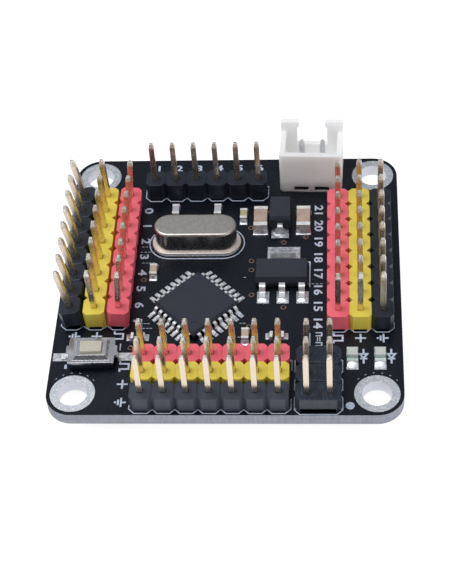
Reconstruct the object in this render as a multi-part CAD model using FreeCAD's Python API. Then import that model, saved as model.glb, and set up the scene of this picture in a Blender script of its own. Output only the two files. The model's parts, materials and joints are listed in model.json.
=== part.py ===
"""Servo driver board: a square controller board with three-row post headers on three sides.

Frame: X to the right, Y to the back, Z up. The origin is the centre of the four mounting holes,
on the underside of the board. All lengths are in millimetres and all angles in degrees.
"""
import FreeCAD, Part
import math
import os

Vector = FreeCAD.Vector
UP = Vector(0, 0, 1)

# ---------------------------------------------------------------- driving dimensions
PITCH = 2.54                     # spacing of all header posts
BOARD_SIZE = 40.0
BOARD_THICKNESS = 1.6
BOARD_CORNER_RADIUS = 3.0
MOUNT_SPACING = 34.0             # between mounting hole centres, both ways
MOUNT_HOLE_RADIUS = 1.68
MOUNT_RING_RADIUS = 2.55
PLATING = 0.05                   # thickness of plated rings and soldering pads

POST_WIDTH = 0.64
POST_BELOW_BOARD = 1.4
POST_TAPER_LENGTH = 0.55
POST_TAPER_WIDTH = 0.36
POST_CLEARANCE = 0.01
HOUSING_WIDTH = 2.53
HOUSING_CHAMFER = 0.42
FOOT_CHANNEL_WIDTH = 1.5
FOOT_CHANNEL_HEIGHT = 0.28
PARTING_GROOVE = 0.08
TALL = 2.54                      # housing height of most strips
LOW = 2.24                       # housing height of the two black ones at the front edge
POST_DRILL_RADIUS = 0.6

TOP = BOARD_THICKNESS            # upper face of the board
PAD_TOP = TOP + PLATING          # upper face of the soldering pads

LEFT_FRONT_Y = -6.35             # first post of the left block, from the front
RIGHT_FRONT_Y = -6.80
FRONT_LEFT_X = -9.10             # first post of the front block, from the left
FRONT_ROW_Y = -18.25
SERIAL_LEFT_X = -9.73
SERIAL_Y = 14.30
PROGRAMMING_X = 9.25
PROGRAMMING_Y = -18.32

# Post strips: name, direction, first post, number of posts, lean towards +X in degrees,
# housing height, length of the posts above the housing, length cut off the housing at each end.
# The left block's strips were soldered a little out of upright.
STRIPS = [
    ("left_ground", "back", -7 * PITCH, LEFT_FRONT_Y, 8, -8.6, TALL, 5.92, 0.0),
    ("left_power", "back", -6 * PITCH, LEFT_FRONT_Y, 8, -1.6, TALL, 6.05, 0.0),
    ("left_signal", "back", -5 * PITCH, LEFT_FRONT_Y, 8, 4.6, TALL, 5.72, 0.0),
    ("right_signal", "back", 5 * PITCH, RIGHT_FRONT_Y, 8, 0.0, TALL, 5.85, 0.0),
    ("right_power", "back", 6 * PITCH, RIGHT_FRONT_Y, 8, 0.0, TALL, 6.0, 0.0),
    ("right_ground", "back", 7 * PITCH, RIGHT_FRONT_Y, 8, 0.0, TALL, 6.08, 0.0),
    ("front_ground", "right", FRONT_LEFT_X, FRONT_ROW_Y, 7, 0.0, LOW, 5.95, 0.08),
    ("front_power", "right", FRONT_LEFT_X, FRONT_ROW_Y + PITCH, 7, 0.0, TALL, 5.75, 0.08),
    ("front_signal", "right", FRONT_LEFT_X, FRONT_ROW_Y + 2 * PITCH, 7, 0.0, TALL, 5.75, 0.08),
    ("serial", "right", SERIAL_LEFT_X, SERIAL_Y, 6, 0.0, TALL, 5.92, 0.2),
]

nodes = {}                       # node name: list of separate solids
drills = []                      # cylinders taken out of the board


# ---------------------------------------------------------------- small helpers
def add(name, *solids):
    nodes.setdefault(name, []).extend(solids)


def block(x0, x1, y0, y1, z0, z1):
    return Part.makeBox(x1 - x0, y1 - y0, z1 - z0, Vector(x0, y0, z0))


def centred_block(size_x, size_y, z0, z1, x=0.0, y=0.0):
    return block(x - size_x / 2, x + size_x / 2, y - size_y / 2, y + size_y / 2, z0, z1)


def prism(outline, z0, z1):
    """Upright solid over an outline of (x, y) points."""
    points = [Vector(x, y, z0) for x, y in outline]
    face = Part.Face(Part.makePolygon(points + points[:1]))
    return face.extrude(UP * (z1 - z0))


def rectangle_wire(half_x, half_y, z):
    corners = [(-half_x, -half_y), (half_x, -half_y), (half_x, half_y), (-half_x, half_y)]
    points = [Vector(x, y, z) for x, y in corners]
    return Part.makePolygon(points + points[:1])


def stacked(sections):
    """Solid with flat sides through rectangles given as (half_x, half_y, z)."""
    return Part.makeLoft([rectangle_wire(*section) for section in sections], True, True)


def stadium_wire(length, width, z):
    radius = width / 2
    reach = length / 2 - radius
    right = Part.Arc(Vector(reach, -radius, z), Vector(reach + radius, 0, z), Vector(reach, radius, z))
    left = Part.Arc(Vector(-reach, radius, z), Vector(-reach - radius, 0, z), Vector(-reach, -radius, z))
    back = Part.LineSegment(Vector(reach, radius, z), Vector(-reach, radius, z))
    front = Part.LineSegment(Vector(-reach, -radius, z), Vector(reach, -radius, z))
    return Part.Wire([right.toShape(), back.toShape(), left.toShape(), front.toShape()])


def stadium(length, width, z0, z1):
    return Part.Face(stadium_wire(length, width, z0)).extrude(UP * (z1 - z0))


def moved(shape, x=0.0, y=0.0, z=0.0, turn=0.0):
    copy = shape.copy()
    copy.rotate(Vector(0, 0, 0), UP, turn)
    copy.translate(Vector(x, y, z))
    return copy


def edges_at_height(shape, z):
    return [e for e in shape.Edges if all(abs(v.Z - z) < 1e-6 for v in e.Vertexes)]


def bent_strip(path, thickness, width, bend_radius):
    """Metal strip of even thickness along a path of (y, z) points, with round bends, centred on x = 0."""
    half = thickness / 2
    points = [Vector(0, y, z) for y, z in path]
    near_side = []
    far_side = []

    def side_of(direction):
        return Vector(0, -direction.z, direction.y)

    last = len(points) - 1
    for i, point in enumerate(points):
        if i in (0, last):
            direction = (points[1] - points[0]) if i == 0 else (points[last] - points[last - 1])
            offset = side_of(direction.normalize()) * half
            near_side.append([point + offset])
            far_side.append([point - offset])
            continue
        into = (point - points[i - 1]).normalize()
        out = (points[i + 1] - point).normalize()
        turn = into.getAngle(out)
        setback = bend_radius * math.tan(turn / 2)
        start = point - into * setback
        end = point + out * setback
        left_turn = into.y * out.z - into.z * out.y > 0
        centre = start + side_of(into) * (bend_radius if left_turn else -bend_radius)
        middle = (point - centre).normalize()
        for side, sign in ((near_side, 1), (far_side, -1)):
            radius = bend_radius - sign * half if left_turn else bend_radius + sign * half
            first = start + side_of(into) * (sign * half)
            final = end + side_of(out) * (sign * half)
            side.append([first, centre + middle * radius, final])

    def side_edges(side):
        edges = []
        for i, stop in enumerate(side):
            if i:
                edges.append(Part.LineSegment(side[i - 1][-1], stop[0]).toShape())
            if len(stop) == 3:
                edges.append(Part.Arc(*stop).toShape())
        return edges

    edges = side_edges(near_side) + side_edges(far_side)
    edges.append(Part.LineSegment(near_side[0][0], far_side[0][0]).toShape())
    edges.append(Part.LineSegment(near_side[-1][-1], far_side[-1][-1]).toShape())
    outline = Part.Wire(Part.__sortEdges__(edges))
    strip = Part.Face(outline).extrude(Vector(width, 0, 0))
    strip.translate(Vector(-width / 2, 0, 0))
    return strip


def pad(size_x, size_y, x, y, turn=0.0):
    """Tinned soldering pad on the board's upper face."""
    add("surface_pads", moved(centred_block(size_x, size_y, TOP, PAD_TOP), x, y, 0, turn))


# ---------------------------------------------------------------- headers
def post(above, below):
    """Square post with tapered ends; z = 0 is the board's upper face."""
    half = POST_WIDTH / 2
    tip = POST_TAPER_WIDTH / 2
    bottom = -(BOARD_THICKNESS + below)
    return stacked([
        (tip, tip, bottom),
        (half, half, bottom + POST_TAPER_LENGTH),
        (half, half, above - POST_TAPER_LENGTH),
        (tip, tip, above),
    ])


def solder_cone(post_solid, x, y):
    """Hollow-sided solder fillet under the board round one post."""
    height = 0.95
    pad_radius = 0.95
    tip_radius = 0.6
    waist = Vector(0.7, 0, -0.36 * height)
    slope = Part.Arc(Vector(pad_radius, 0, 0), waist, Vector(tip_radius, 0, -height)).toShape()
    top = Part.LineSegment(Vector(0, 0, 0), Vector(pad_radius, 0, 0)).toShape()
    bottom = Part.LineSegment(Vector(tip_radius, 0, -height), Vector(0, 0, -height)).toShape()
    axis = Part.LineSegment(Vector(0, 0, -height), Vector(0, 0, 0)).toShape()
    cone = Part.Face(Part.Wire([top, slope, bottom, axis])).revolve(Vector(0, 0, 0), UP, 360)
    cone.translate(Vector(x, y, 0))
    return cone.cut(post_solid)


def strip_outline(count, width, chamfer=HOUSING_CHAMFER, trim=0.0):
    """Chain of eight-sided cells along +Y, the first centred on the origin; both ends may be cut short."""
    half = width / 2
    inner = half - chamfer
    start = -PITCH / 2
    right = [(inner, start + trim)]
    for i in range(count):
        low = start + i * PITCH
        high = low + PITCH
        if i == 0:
            low += trim
        if i == count - 1:
            high -= trim
        right += [(half, low + chamfer), (half, high - chamfer), (inner, high)]
    left = [(-x, y) for x, y in reversed(right)]
    return right + left


def post_cutter(height):
    width = POST_WIDTH + 2 * POST_CLEARANCE
    return centred_block(width, width, -1, height + 1)


def parting_groove(width, height, depth=PARTING_GROOVE):
    """V-shaped cut across a housing, where two cells meet."""
    corners = ((-depth, height), (depth, height), (0, height - depth))
    points = [Vector(-width, y, z) for y, z in corners]
    face = Part.Face(Part.makePolygon(points + points[:1]))
    return face.extrude(Vector(2 * width, 0, 0))


def strip_housing(count, height, trim):
    body = prism(strip_outline(count, HOUSING_WIDTH, trim=trim), 0, height)
    cutters = [moved(post_cutter(height), 0, i * PITCH) for i in range(count)]
    groove = parting_groove(HOUSING_WIDTH, height)
    cutters += [moved(groove, 0, (i + 0.5) * PITCH) for i in range(count - 1)]
    length = (count + 1) * PITCH
    channel = block(-FOOT_CHANNEL_WIDTH / 2, FOOT_CHANNEL_WIDTH / 2, -PITCH, length, -1, FOOT_CHANNEL_HEIGHT)
    return body.cut(Part.makeCompound(cutters + [channel]))


def stand(shape, direction, x, y, lean):
    """Leans a strip about the housing's lower edge, turns it and sets it on the board."""
    copy = shape.copy()
    pivot_x = math.copysign(HOUSING_WIDTH / 2, lean)
    copy.rotate(Vector(pivot_x, 0, 0), Vector(0, 1, 0), lean)
    if direction == "right":
        copy.rotate(Vector(0, 0, 0), UP, -90)
    copy.translate(Vector(x, y, TOP))
    return copy


def header_strip(name, direction, x, y, count, lean, height, above, trim):
    add(name + "_header_housing", stand(strip_housing(count, height, trim), direction, x, y, lean))
    one_post = post(height + above, POST_BELOW_BOARD)
    board_middle = Part.Vertex(Vector(0, 0, -BOARD_THICKNESS / 2))
    solder_middle = Part.Vertex(Vector(0, 0, -BOARD_THICKNESS - 0.5))
    for i in range(count):
        along = Vector(0, i * PITCH, 0)
        placed = []
        for local in (one_post, board_middle, solder_middle):
            shape = local.copy()
            shape.translate(along)
            placed.append(stand(shape, direction, x, y, lean))
        add(name + "_header_posts", placed[0])
        drills.append(Part.makeCylinder(POST_DRILL_RADIUS, 3, Vector(placed[1].X, placed[1].Y, -0.5)))
        add("solder_joints", solder_cone(placed[0], placed[2].X, placed[2].Y))


def programming_header():
    """Two posts wide and three deep, in one moulded housing."""
    width = HOUSING_WIDTH + PITCH
    above = 6.08
    slot_half, slot_height = 1.95, 0.55
    groove_depth = 0.16
    body = prism(strip_outline(3, width, 0.5), 0, LOW)
    channel = block(-slot_half, slot_half, -PITCH, 4 * PITCH, -1, slot_height)
    cutters = [channel]
    groove = parting_groove(width, LOW, groove_depth)
    cutters += [moved(groove, 0, (i + 0.5) * PITCH) for i in range(2)]
    places = [(side * PITCH / 2, row * PITCH) for row in range(3) for side in (-1, 1)]
    cutters += [moved(post_cutter(LOW), x, y) for x, y in places]
    housing = body.cut(Part.makeCompound(cutters))
    centre_x = PROGRAMMING_X + PITCH / 2
    add("programming_header_housing", moved(housing, centre_x, PROGRAMMING_Y, TOP))
    for x, y in places:
        x += centre_x
        y += PROGRAMMING_Y
        placed = moved(post(LOW + above, POST_BELOW_BOARD), x, y, TOP)
        add("programming_header_posts", placed)
        drills.append(Part.makeCylinder(POST_DRILL_RADIUS, 3, Vector(x, y, -0.5)))
        add("solder_joints", solder_cone(placed, x, y))


# ---------------------------------------------------------------- board and mounting rings
def circuit_board():
    half = BOARD_SIZE / 2
    board = block(-half, half, -half, half, 0, TOP)
    corners = [e for e in board.Edges if abs(e.Vertexes[0].Z - e.Vertexes[1].Z) > 1]
    board = board.makeFillet(BOARD_CORNER_RADIUS, corners)
    for x, y in mount_places():
        drills.append(Part.makeCylinder(MOUNT_HOLE_RADIUS + PLATING, 3, Vector(x, y, -0.5)))
        drills.append(Part.makeCylinder(MOUNT_RING_RADIUS, PLATING, Vector(x, y, 0)))
        drills.append(Part.makeCylinder(MOUNT_RING_RADIUS, PLATING, Vector(x, y, TOP - PLATING)))
    add("circuit_board", board.cut(drills))


def mount_places():
    half = MOUNT_SPACING / 2
    return [(x, y) for x in (-half, half) for y in (-half, half)]


def mounting_hole_rings():
    """Plated sleeve with a flat ring on each face of the board."""
    sleeve = Part.makeCylinder(MOUNT_HOLE_RADIUS + PLATING, BOARD_THICKNESS)
    lower = Part.makeCylinder(MOUNT_RING_RADIUS, PLATING)
    upper = moved(lower, 0, 0, TOP - PLATING)
    bore = Part.makeCylinder(MOUNT_HOLE_RADIUS, 3, Vector(0, 0, -0.5))
    ring = sleeve.fuse([lower, upper]).cut(bore)
    for x, y in mount_places():
        add("mounting_hole_rings", moved(ring, x, y))


# ---------------------------------------------------------------- power socket
def power_socket():
    """White two-way socket, open at the top, its back wall cut down between two hooked corner posts."""
    centre_x, centre_y = 9.50, 17.02
    turn = -2.0
    half_x, half_y = 3.80, 2.825
    wall = 0.66
    floor = TOP + 1.9
    front_top = TOP + 6.1
    side_top = TOP + 5.65
    top = TOP + 7.0
    cut_half = 1.84
    cut_bottom = TOP + 3.35
    post_step = 1.25
    post_shift = 0.09
    post_y = 0.38
    post_height = 5.75
    body = centred_block(2 * half_x, 2 * half_y, TOP, top)
    upright = [e for e in body.Edges if e.BoundBox.ZLength > 1]
    body = body.makeFillet(0.3, upright)
    well = centred_block(2 * (half_x - wall), 2 * (half_y - wall), floor, top + 1)
    above_front = block(-5, 5, -5, -half_y + wall, front_top, top + 1)
    above_sides = block(-5, 5, -half_y + wall, half_y - wall, side_top, top + 1)
    back_cut = block(-cut_half, cut_half, half_y - wall - 1, half_y + 1, cut_bottom, top + 1)
    body = body.cut(Part.makeCompound([well, above_front, above_sides])).cut(back_cut)
    # hooks at the heads of the two corner posts
    hook_reach, hook_height, hook_radius = 0.24, 0.85, 0.22
    for side in (-1, 1):
        inner = side * (cut_half - hook_reach)
        outer = side * (cut_half + 0.3)
        hook = block(min(inner, outer), max(inner, outer), half_y - wall, half_y, top - hook_height, top)
        rounded = [e for e in hook.Edges if e.BoundBox.YLength > 0.1 and abs(e.BoundBox.XMin - inner) < 1e-6]
        body = body.fuse(hook.makeFillet(hook_radius, rounded))
    # a slot over each post at the foot of the front wall, open to the board behind a thin low sill
    slot_width, slot_top = 1.76, TOP + 0.92
    sill_height, sill_depth = 0.26, 0.22
    for side in (-1, 1):
        post_x = side * post_step + post_shift
        left, right = post_x - slot_width / 2, post_x + slot_width / 2
        slot = block(left, right, -half_y - 1, -half_y + 1.7, TOP + sill_height, slot_top)
        hollow = block(left, right, -half_y + sill_depth, -half_y + 1.7, TOP - 1, slot_top)
        body = body.cut(slot.fuse(hollow))
        body = body.cut(centred_block(POST_WIDTH, POST_WIDTH, 0, top, post_x, post_y))
    add("power_socket_housing", moved(body.removeSplitter(), centre_x, centre_y, 0, turn))
    for side in (-1, 1):
        post_x = side * post_step + post_shift
        pin = moved(post(post_height, POST_BELOW_BOARD), post_x, post_y, TOP)
        joint = moved(solder_cone(pin, post_x, post_y), centre_x, centre_y, 0, turn)
        add("power_socket_posts", moved(pin, centre_x, centre_y, 0, turn))
        add("solder_joints", joint)
        spot = FreeCAD.Rotation(UP, turn).multVec(Vector(post_x, post_y, 0))
        drill_radius = POST_WIDTH / 2 * math.sqrt(2) + 0.03
        drill_foot = Vector(centre_x + spot.x, centre_y + spot.y, -0.5)
        drills.append(Part.makeCylinder(drill_radius, 3, drill_foot))


# ---------------------------------------------------------------- crystal
def crystal():
    centre_x, centre_y = -4.25, 5.55
    flange_length, flange_width = 10.70, 4.16
    can_length, can_width = 9.80, 3.56
    base_top = TOP + 0.42
    flange_top = base_top + 0.20
    can_top = TOP + 3.5
    wall = 0.22
    lead_radius = 0.215
    seal_radius = 0.55
    lead_reach = 4.88 / 2
    lead_top = TOP + 1.9
    base = stadium(flange_length, flange_width, TOP, base_top)
    base = base.makeFillet(0.18, edges_at_height(base, TOP))
    can = stadium(can_length, can_width, base_top, can_top)
    can = can.makeFillet(0.32, edges_at_height(can, can_top))
    rim = stadium(flange_length, flange_width, base_top, flange_top)
    rim = rim.makeFillet(0.12, edges_at_height(rim, flange_top))
    hollow = stadium(can_length - 2 * wall, can_width - 2 * wall, base_top, can_top - wall)
    can = can.fuse(rim).cut(hollow).removeSplitter()
    for side in (-1, 1):
        foot = Vector(side * lead_reach, 0, -1.1)
        lead = Part.makeCylinder(lead_radius, lead_top + 1.1, foot)
        seal = Part.makeCylinder(seal_radius, base_top - TOP, Vector(side * lead_reach, 0, TOP))
        base = base.cut(seal)
        placed = moved(lead, centre_x, centre_y)
        add("crystal_seals", moved(seal.cut(lead), centre_x, centre_y))
        add("crystal_leads", placed)
        x = centre_x + side * lead_reach
        drills.append(Part.makeCylinder(0.4, 3, Vector(x, centre_y, -0.5)))
        add("solder_joints", solder_cone(placed, x, centre_y))
    blank = stadium(6.4, 1.9, lead_top, lead_top + 0.16)
    add("crystal_base", moved(base, centre_x, centre_y))
    add("crystal_can", moved(can, centre_x, centre_y))
    add("crystal_quartz", moved(blank, centre_x, centre_y))


# ---------------------------------------------------------------- microcontroller
def microcontroller():
    """Flat square package with eight leads on each side, turned by 45 degrees."""
    centre_x, centre_y = -3.76, -4.42
    turn = 45
    half = 3.5
    top_half = 3.22
    draft = 0.10
    standoff = 0.08
    bottom = PAD_TOP + standoff
    top = bottom + 0.89
    lead_pitch = 0.8
    lead_thickness = 0.16
    lead_width = 0.38
    lead_z = bottom + 0.5
    foot_z = PAD_TOP + lead_thickness / 2
    band = 0.1
    body = stacked([
        (half - draft, half - draft, bottom),
        (half, half, lead_z - band),
        (half, half, lead_z + band),
        (top_half, top_half, top),
    ])
    dimple = Part.makeCylinder(0.45, 1, Vector(-half + 1.05, -half + 1.05, top - 0.06))
    path = [(-3.1, lead_z), (-3.78, lead_z), (-4.0, foot_z), (-4.6, foot_z)]
    lead = bent_strip(path, lead_thickness, lead_width, 0.17)
    leads = []
    for side in range(4):
        for i in range(8):
            step = (i - 3.5) * lead_pitch
            leads.append(moved(moved(lead, step), turn=90 * side))
            reach = Vector(step, -4.35, 0)
            spot = FreeCAD.Rotation(UP, 90 * side + turn).multVec(reach)
            pad(0.46, 1.2, centre_x + spot.x, centre_y + spot.y, 90 * side + turn)
    die = centred_block(3.2, 3.2, lead_z - 0.1, lead_z + 0.2)
    body = body.cut(Part.makeCompound(leads + [die, dimple]))
    add("microcontroller_body", moved(body, centre_x, centre_y, 0, turn))
    add("microcontroller_die", moved(die, centre_x, centre_y, 0, turn))
    add("microcontroller_leads", *[moved(each, centre_x, centre_y, 0, turn) for each in leads])


# ---------------------------------------------------------------- regulator
def regulator():
    """Three narrow leads at the front, one wide heat tab at the back."""
    centre_x, centre_y = 6.17, 0.22
    half_x, half_y = 3.10, 1.75
    body_shift = -0.08
    bottom = PAD_TOP + 0.04
    top = TOP + 1.68
    lead_thickness = 0.28
    lead_z = TOP + 0.86
    foot_z = PAD_TOP + lead_thickness / 2
    band = 0.16
    body = stacked([
        (half_x - 0.12, half_y - 0.12, bottom),
        (half_x, half_y, lead_z - band),
        (half_x, half_y, lead_z + band),
        (half_x - 0.14, half_y - 0.30, top),
    ])
    body = moved(body, body_shift)
    bend = 0.26
    lead_path = [(-1.25, lead_z), (-2.25, lead_z), (-2.50, foot_z), (-3.50, foot_z)]
    lead = bent_strip(lead_path, lead_thickness, 0.72, bend)
    leads = [moved(lead, step) for step in (-2.3, 0, 2.3)]
    tab_path = [(-0.95, lead_z), (2.25, lead_z), (2.50, foot_z), (3.50, foot_z)]
    tab = bent_strip(tab_path, lead_thickness, 3.0, bend)
    die_z = lead_z + lead_thickness / 2
    die = centred_block(1.7, 1.4, die_z, die_z + 0.3)
    body = body.cut(Part.makeCompound(leads + [tab, die]))
    add("regulator_body", moved(body, centre_x, centre_y))
    add("regulator_leads", *[moved(each, centre_x, centre_y) for each in leads])
    add("regulator_heat_tab", moved(tab, centre_x, centre_y))
    add("regulator_die", moved(die, centre_x, centre_y))
    for step in (-2.3, 0, 2.3):
        pad(1.42, 1.85, centre_x + step + 0.1, centre_y - 3.22)
    pad(3.9, 2.6, centre_x + 0.1, centre_y + 3.45)


# ---------------------------------------------------------------- diode
def diode():
    centre_x, centre_y = 5.75, 9.65
    half_x, half_y = 1.3, 1.98
    bottom = PAD_TOP + 0.24
    top = TOP + 2.25
    exit_z = TOP + 1.25
    foot_z = PAD_TOP + 0.1
    body = stacked([
        (half_x - 0.08, half_y - 0.1, bottom),
        (half_x, half_y, exit_z - 0.12),
        (half_x, half_y, exit_z + 0.12),
        (half_x - 0.05, half_y - 0.04, top - 0.42),
        (half_x - 0.12, half_y - 0.36, top),
    ])
    path = [(-0.4, exit_z), (-2.5, exit_z), (-2.5, foot_z), (-1.3, foot_z)]
    strip = bent_strip(path, 0.2, 1.5, 0.2)
    taper = Part.makePolygon([
        Vector(-0.64, -4, TOP), Vector(0.64, -4, TOP), Vector(0.64, -4, TOP + 0.4),
        Vector(0.25, -4, exit_z + 0.2), Vector(-0.25, -4, exit_z + 0.2), Vector(-0.64, -4, TOP + 0.4),
        Vector(-0.64, -4, TOP),
    ])
    terminal = strip.common(Part.Face(taper).extrude(Vector(0, 4, 0)))
    terminals = [terminal, moved(terminal, turn=180)]
    pellet = centred_block(1.2, 0.8, exit_z - 0.3, exit_z + 0.3)
    body = body.cut(Part.makeCompound(terminals + [pellet]))
    add("diode_body", moved(body, centre_x, centre_y))
    add("diode_terminals", *[moved(each, centre_x, centre_y) for each in terminals])
    add("diode_pellet", moved(pellet, centre_x, centre_y))
    for side in (-1, 1):
        pad(2.1, 1.8, centre_x, centre_y + side * 2.3)


# ---------------------------------------------------------------- capacitors and resistors
def chip_part(name, x, y, turn, size, end_length, skin, pad_size):
    """Ceramic chip with a metal cap folded over each end, its length along Y before it is turned."""
    cap_cover = 0.35
    width, length, height = size
    cap_block = centred_block(width, length, PAD_TOP, PAD_TOP + height)
    rounded = [e for e in cap_block.Edges if e.BoundBox.YMin > 0 or e.BoundBox.YMax < 0]
    shell = cap_block.makeFillet(skin, rounded)
    core = centred_block(width - 2 * skin, length - 2 * skin, PAD_TOP + skin, PAD_TOP + height - skin)
    middle_length = length - 2 * end_length
    middle = centred_block(width - skin, middle_length, PAD_TOP + skin / 2, PAD_TOP + height - skin / 2)
    body = core.fuse(middle).removeSplitter()
    add(name + "_bodies", moved(body, x, y, 0, turn))
    for side in (-1, 1):
        reach = block(-width, width, 0, length, TOP, TOP + 5)
        reach = moved(reach, 0, length / 2 - end_length)
        end = shell.common(moved(reach, turn=0 if side == 1 else 180)).cut(core)
        add(name + "_ends", moved(end, x, y, 0, turn))
        pad_reach = side * (length / 2 + pad_size[1] / 2 - cap_cover)
        spot = FreeCAD.Rotation(UP, turn).multVec(Vector(0, pad_reach, 0))
        pad(pad_size[0], pad_size[1], x + spot.x, y + spot.y, turn)


def chip_parts():
    for x in (3.38, 8.55):
        chip_part("supply_capacitor", x, 8.95, 0, (1.65, 3.2, 1.35), 0.52, 0.06, (1.85, 0.75))
    small_size = (0.85, 1.6, 0.8)
    small_places = [
        (1.25, 9.95, 0),
        (-9.15, 0.95, 0),
        (-7.10, 10.75, 0),
        (-1.95, 10.75, 0),
        (2.10, -8.95, 0),
    ]
    for x, y, turn in small_places:
        chip_part("signal_capacitor", x, y, turn, small_size, 0.32, 0.04, (0.95, 0.85))
    for x, y, turn in ((-10.25, -9.0, 90), (5.72, -8.85, 90)):
        chip_part("resistor", x, y, turn, (0.85, 1.6, 0.45), 0.32, 0.03, (0.95, 0.85))


# ---------------------------------------------------------------- indicator lamps
def indicator_lamps():
    """Clear lens on a pale base with metal ends."""
    width, length = 1.25, 2.0
    base_height = 0.42
    end_length = 0.38
    base_top = PAD_TOP + base_height
    lens_top = base_top + 0.55
    chip_size = 0.3
    lens = stacked([
        (width / 2, length / 2 - end_length, base_top),
        (width / 2 - 0.04, length / 2 - end_length - 0.07, lens_top),
    ])
    chip = centred_block(chip_size, chip_size, base_top, base_top + 0.2)
    lens = lens.cut(chip)
    skin = 0.04
    cap_block = centred_block(width, length, PAD_TOP, base_top)
    core = centred_block(width - 2 * skin, length - 2 * skin, PAD_TOP + skin, base_top - skin)
    middle = centred_block(width, length - 2 * end_length, PAD_TOP, base_top)
    base = core.fuse(middle).removeSplitter()
    ends = cap_block.cut(base)
    for x in (14.30, 17.42):
        y = -11.75
        add("indicator_lamp_bases", moved(base, x, y))
        add("indicator_lamp_lenses", moved(lens, x, y))
        add("indicator_lamp_chips", moved(chip, x, y))
        add("indicator_lamp_ends", *[moved(each, x, y) for each in ends.Solids])
        for side in (-1, 1):
            pad(1.35, 1.3, x, y - 0.33 + side * 0.97)


# ---------------------------------------------------------------- reset switch
def reset_switch():
    """Low push switch: base with a well, two contacts, snap dome, sheet cover and plunger."""
    centre_x, centre_y = -15.19, -11.82
    turn = 0.6
    base_half_x, base_half_y = 2.50, 1.68
    base_bottom = PAD_TOP
    base_top = TOP + 1.15
    well_radius = 1.12
    floor = TOP + 0.55
    strip_thickness = 0.18
    cover_thickness = 0.15
    cover_half_x, cover_half_y = 2.64, 1.83
    plate_top = base_top + cover_thickness
    plateau_top = plate_top + 0.46
    plateau_base = (2.06, 1.46)
    plateau_head = (1.72, 1.10)
    stem_half = (1.23, 0.76)
    side_gap = 0.04
    collar_half_x = 1.45
    dome_rim, dome_height, dome_thickness = 1.05, 0.44, 0.06

    # contacts: one reaches the well's middle, one stops under the dome's rim
    contact_z = floor - strip_thickness / 2
    foot_z = PAD_TOP + strip_thickness / 2

    def terminal(inner_end):
        path = [(inner_end, contact_z), (2.80, contact_z), (3.02, foot_z), (3.60, foot_z)]
        return moved(bent_strip(path, strip_thickness, 0.75, 0.16), turn=-90)

    centre_contact = terminal(-0.3)
    rim_contact = moved(terminal(0.75), turn=180)

    # snap dome, a thin cap of a ball
    ball_radius = (dome_rim ** 2 + dome_height ** 2) / (2 * dome_height)
    ball_centre = Vector(0, 0, floor + dome_height - ball_radius)
    outer = Part.makeSphere(ball_radius, ball_centre)
    inner = Part.makeSphere(ball_radius - dome_thickness, ball_centre)
    keep = Part.makeCylinder(dome_rim - 0.01, 2, Vector(0, 0, floor))
    dome = outer.cut(inner).common(keep)

    base = centred_block(2 * base_half_x, 2 * base_half_y, base_bottom, base_top)
    well = Part.makeCylinder(well_radius, 2, Vector(0, 0, floor))
    base = base.cut(Part.makeCompound([well, centre_contact, rim_contact]))

    # cover: plate with side ears, raised middle, turned-down front and back edges
    ear_half = 0.75
    ear_reach = cover_half_x + 0.27
    step = cover_half_x - 0.06
    outline = [
        (-cover_half_x, -cover_half_y), (cover_half_x, -cover_half_y), (cover_half_x, -ear_half),
        (ear_reach, -ear_half + 0.15), (ear_reach, ear_half - 0.15), (cover_half_x, ear_half),
        (step, cover_half_y), (-step, cover_half_y), (-cover_half_x, ear_half),
        (-ear_reach, ear_half - 0.15), (-ear_reach, -ear_half + 0.15), (-cover_half_x, -ear_half),
    ]
    plate = prism(outline, base_top, plate_top)
    levels = ((plateau_base, base_top), (plateau_base, plate_top), (plateau_head, plateau_top))
    plateau = stacked([half_size + (height,) for half_size, height in levels])
    inset = cover_thickness
    hollow = stacked([
        (plateau_base[0] - inset, plateau_base[1] - inset, base_top - 0.01),
        (plateau_base[0] - inset, plateau_base[1] - inset, base_top + 0.10),
        (plateau_head[0] - inset, plateau_head[1] - inset, plateau_top - cover_thickness),
    ])
    opening_x, opening_y = [2 * (half_size + side_gap) for half_size in stem_half]
    opening = centred_block(opening_x, opening_y, base_top, plateau_top + 1)
    cover = plate.fuse(plateau).cut(hollow).cut(opening)
    for side in (-1, 1):
        edge_y = side * (cover_half_y - cover_thickness / 2)
        lip = centred_block(2 * (step - 0.1), cover_thickness, base_top - 0.3, base_top, 0, edge_y)
        cover = cover.fuse(lip)
    cover = cover.removeSplitter()

    # plunger: stem through the cover, collar under it, nub on the dome
    collar_top = plateau_top - cover_thickness - 0.02
    collar_bottom = collar_top - 0.17
    stem = centred_block(2 * stem_half[0], 2 * stem_half[1], collar_bottom, plateau_top + 0.34)
    stem_edges = [e for e in stem.Edges if e.BoundBox.ZMin > plateau_top]
    stem = stem.makeFillet(0.10, stem_edges)
    collar = centred_block(2 * collar_half_x, 2 * stem_half[1], collar_bottom, collar_top)
    nub_bottom = floor + dome_height + 0.01
    nub = Part.makeCylinder(0.5, collar_bottom - nub_bottom, Vector(0, 0, nub_bottom))
    plunger = stem.fuse([collar, nub]).removeSplitter()

    for name, parts in (
        ("reset_switch_base", [base]),
        ("reset_switch_terminals", [centre_contact, rim_contact]),
        ("reset_switch_dome", [dome]),
        ("reset_switch_cover", [cover]),
        ("reset_switch_plunger", [plunger]),
    ):
        add(name, *[moved(each, centre_x, centre_y, 0, turn) for each in parts])
    for side in (-1, 1):
        pad(1.65, 1.15, centre_x + side * 3.75, centre_y + side * 0.04, turn)


# ---------------------------------------------------------------- making the parts
for strip in STRIPS:
    header_strip(*strip)
programming_header()
power_socket()
crystal()
microcontroller()
regulator()
diode()
chip_parts()
indicator_lamps()
reset_switch()
mounting_hole_rings()
circuit_board()

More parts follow.
